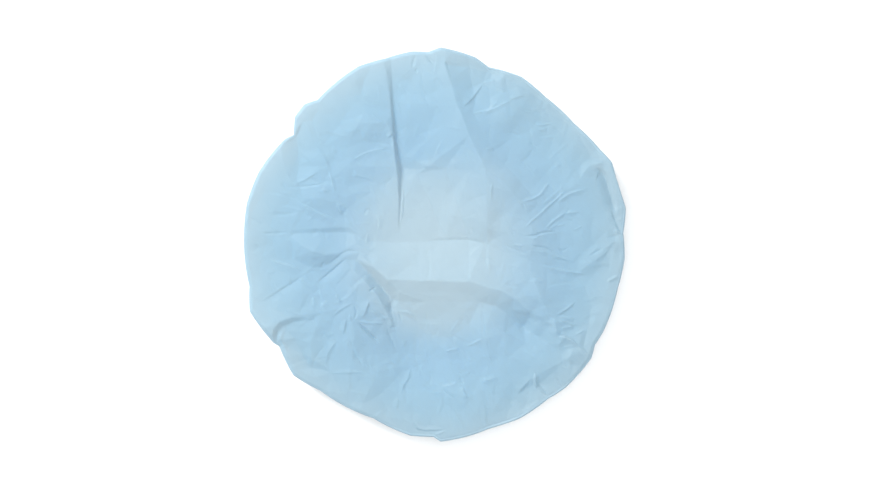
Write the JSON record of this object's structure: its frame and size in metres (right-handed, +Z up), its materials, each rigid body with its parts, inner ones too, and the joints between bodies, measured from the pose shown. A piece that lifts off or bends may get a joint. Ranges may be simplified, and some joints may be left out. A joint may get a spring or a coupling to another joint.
{
  "type": "disposable shower cap",
  "caption": "Round cap of thin light blue film whose edge is gathered on an elastic ring, lying crown up as it rests on a table.",
  "frame": {"origin": "on the table, under the middle of the cap's outline", "axes": "+Z up through the crown, +Y along the cap's longest way across, towards the peak of its outline"},
  "size_m": [0.3248, 0.3344, 0.0334],
  "materials": {
    "film": "thin matte polyethylene film, light blue and see-through enough that two layers look bluer than one",
    "hem": "the same film folded over and gathered, several layers thick",
    "elastic": "thin white elastic, matte"
  },
  "bodies": {
    "root": {"film_shell": "film", "gathered_hem": "hem", "elastic_band": "elastic"}
  },
  "joints": []
}
